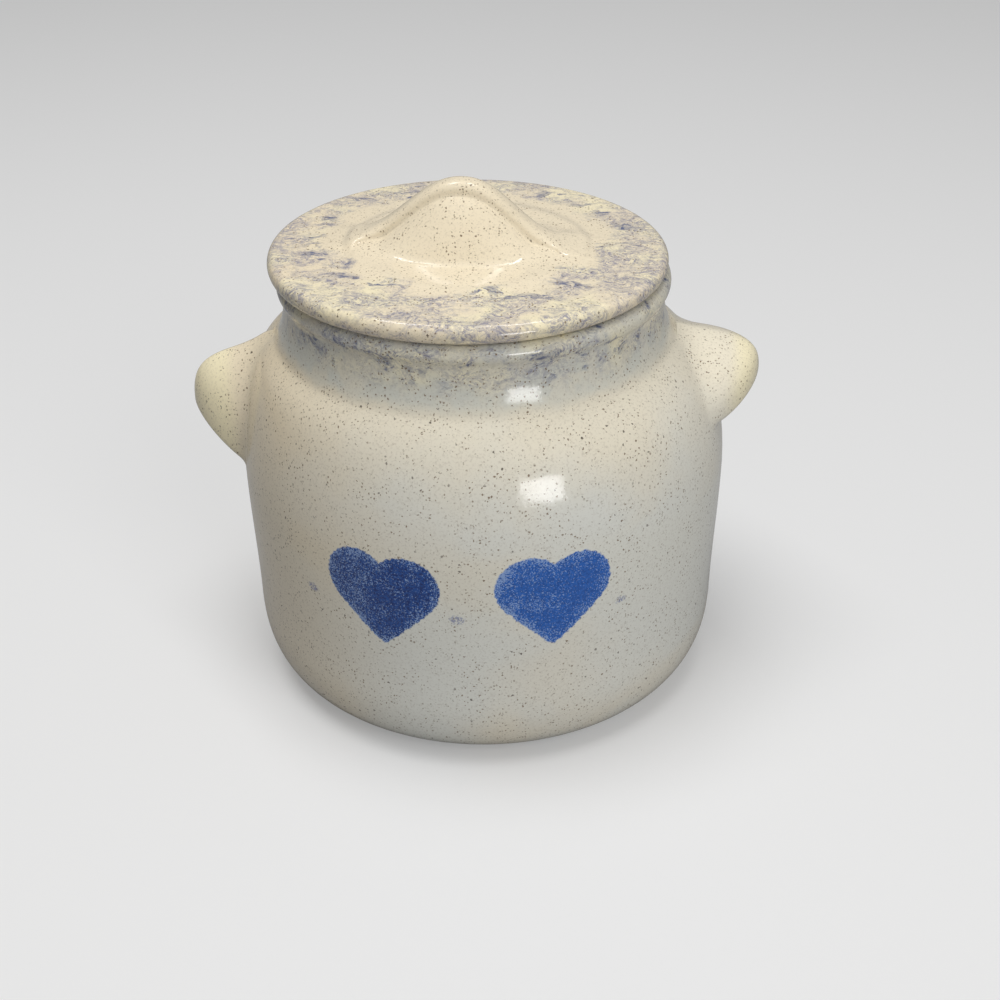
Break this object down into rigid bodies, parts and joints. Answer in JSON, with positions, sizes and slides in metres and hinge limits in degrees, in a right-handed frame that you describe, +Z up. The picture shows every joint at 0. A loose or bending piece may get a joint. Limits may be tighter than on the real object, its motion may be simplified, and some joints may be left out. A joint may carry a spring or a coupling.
{
  "type": "lidded bean pot",
  "caption": "Round glazed stoneware bean pot with a short neck, two ear lugs and a loose lid that lifts off by a ridge handle.",
  "frame": {"origin": "on the table, under the centre of the mouth; the jar's own axis lies 2.2 mm to +X of it, as thrown", "axes": "+Z up along the axis of the mouth, +X towards the right lug and -X towards the left one, -Y towards the decorated front"},
  "size_m": [0.1665, 0.143, 0.1508],
  "materials": {
    "pot_body": "glossy",
    "lug_left": "glossy",
    "lug_right": "glossy",
    "lid": "glossy"
  },
  "bodies": {
    "pot": {"pot_body": "pot_body", "lug_left": "lug_left", "lug_right": "lug_right"},
    "lid": {"lid": "lid"}
  },
  "joints": [
    {"name": "lid_lift", "type": "slide", "parent": "pot", "child": "lid", "axis": [0, 0, 1], "range_m": [0, 0.05]}
  ]
}
